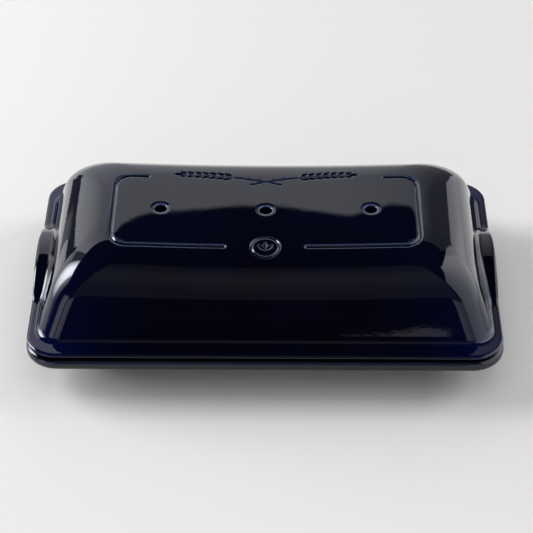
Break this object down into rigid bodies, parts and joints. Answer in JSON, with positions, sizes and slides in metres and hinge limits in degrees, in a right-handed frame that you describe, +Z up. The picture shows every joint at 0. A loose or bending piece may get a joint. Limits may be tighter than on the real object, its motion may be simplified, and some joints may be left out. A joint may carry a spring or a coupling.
{
  "type": "baguette baker",
  "caption": "Glazed stoneware baguette baker: a domed, vented lid with arched end grips lifts off a rimmed tray of half-round troughs.",
  "frame": {"origin": "middle of the footprint, on the table under the tray's feet", "axes": "+Z up out of the lid's crown, +X along the loaves, +Y towards the back of the crown's bracket grooves' short runs"},
  "size_m": [0.3916, 0.2402, 0.1043],
  "materials": {
    "tray_glaze": "gloss navy glaze",
    "lid_glaze": "gloss navy glaze, thinner and bluer on edges"
  },
  "bodies": {
    "tray": {"base_tray": "tray_glaze"},
    "lid": {"lid": "lid_glaze"}
  },
  "joints": [
    {"name": "lid_lift", "type": "slide", "parent": "tray", "child": "lid", "axis": [0, 0, 1], "range_m": [0, 0.15]}
  ]
}
